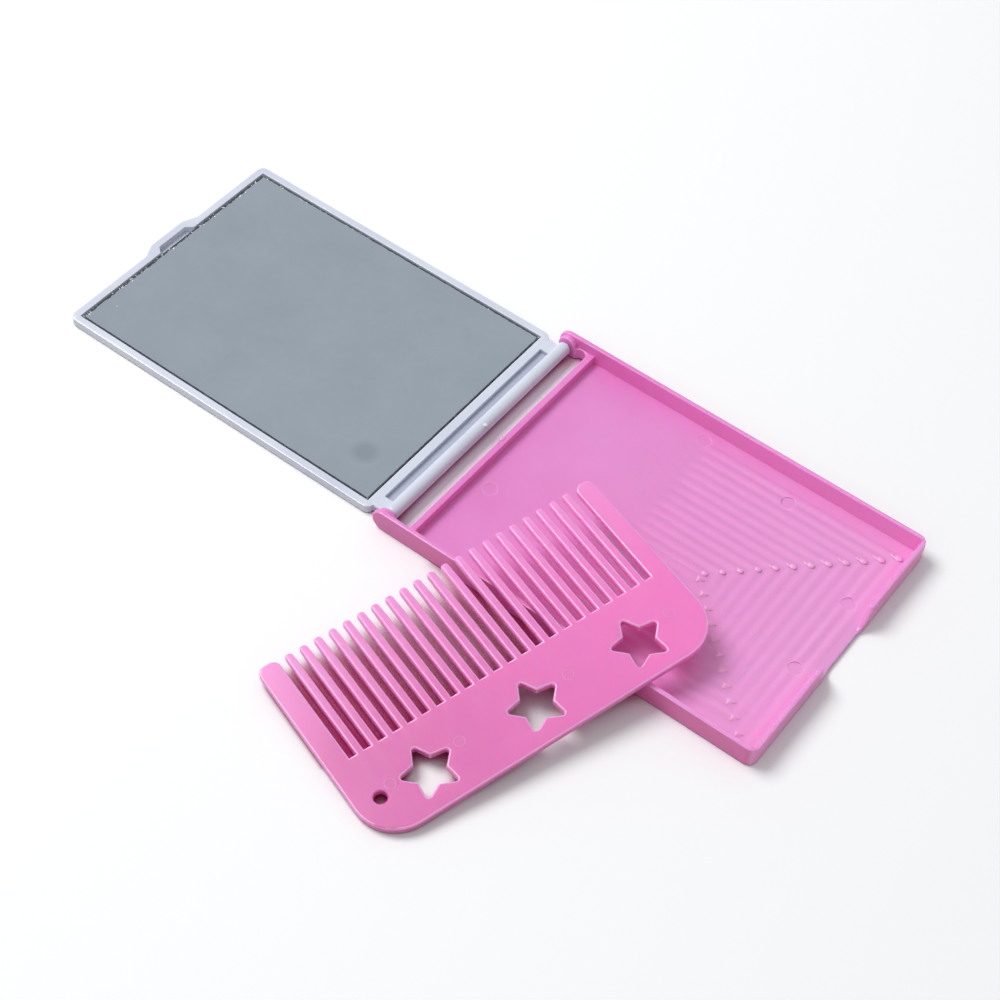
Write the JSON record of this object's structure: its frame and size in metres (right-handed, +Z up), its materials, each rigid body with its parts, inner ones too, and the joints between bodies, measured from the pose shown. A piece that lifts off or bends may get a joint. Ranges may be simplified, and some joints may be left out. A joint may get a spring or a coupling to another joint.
{
  "type": "pocket mirror comb",
  "caption": "Flat folding pocket case with a mirror in its lid, opened out flat on stub-pin hinges, and its loose toothed comb leaning over the tray's near wall.",
  "frame": {"origin": "middle of the tray's underside, on the table", "axes": "+X from the hinge towards the tray's front wall with the finger notch, +Y along the hinge away from the comb, +Z up"},
  "size_m": [0.163, 0.1101, 0.0092],
  "materials": {
    "tray_plastic": "moulded, semi-gloss pink, slightly translucent",
    "comb_plastic": "moulded, semi-gloss pink, slightly translucent",
    "lid_plastic": "moulded, semi-gloss pale lilac",
    "mirror": "polished float glass, silvered on the back",
    "tape": "double-sided adhesive tape"
  },
  "bodies": {
    "tray": {"case_tray": "tray_plastic"},
    "lid": {"mirror_frame": "lid_plastic", "mirror_glass": "mirror", "tape_strip_near": "tape", "tape_strip_far": "tape"},
    "loose_comb": {"comb": "comb_plastic"}
  },
  "joints": [
    {"name": "lid_hinge", "type": "hinge", "parent": "tray", "child": "lid", "pos_m": [-0.0395, 0, 0.0024], "axis": [0, 1, 0], "range_deg": [0, 180]},
    {"name": "comb_taken_away", "type": "slide", "parent": "tray", "child": "loose_comb", "axis": [0, -1, 0], "range_m": [0, 0.04]}
  ],
  "couplings": [
    {"joint": "comb_taken_away", "follows": "lid_hinge", "m_per_rad": 0.01273}
  ]
}
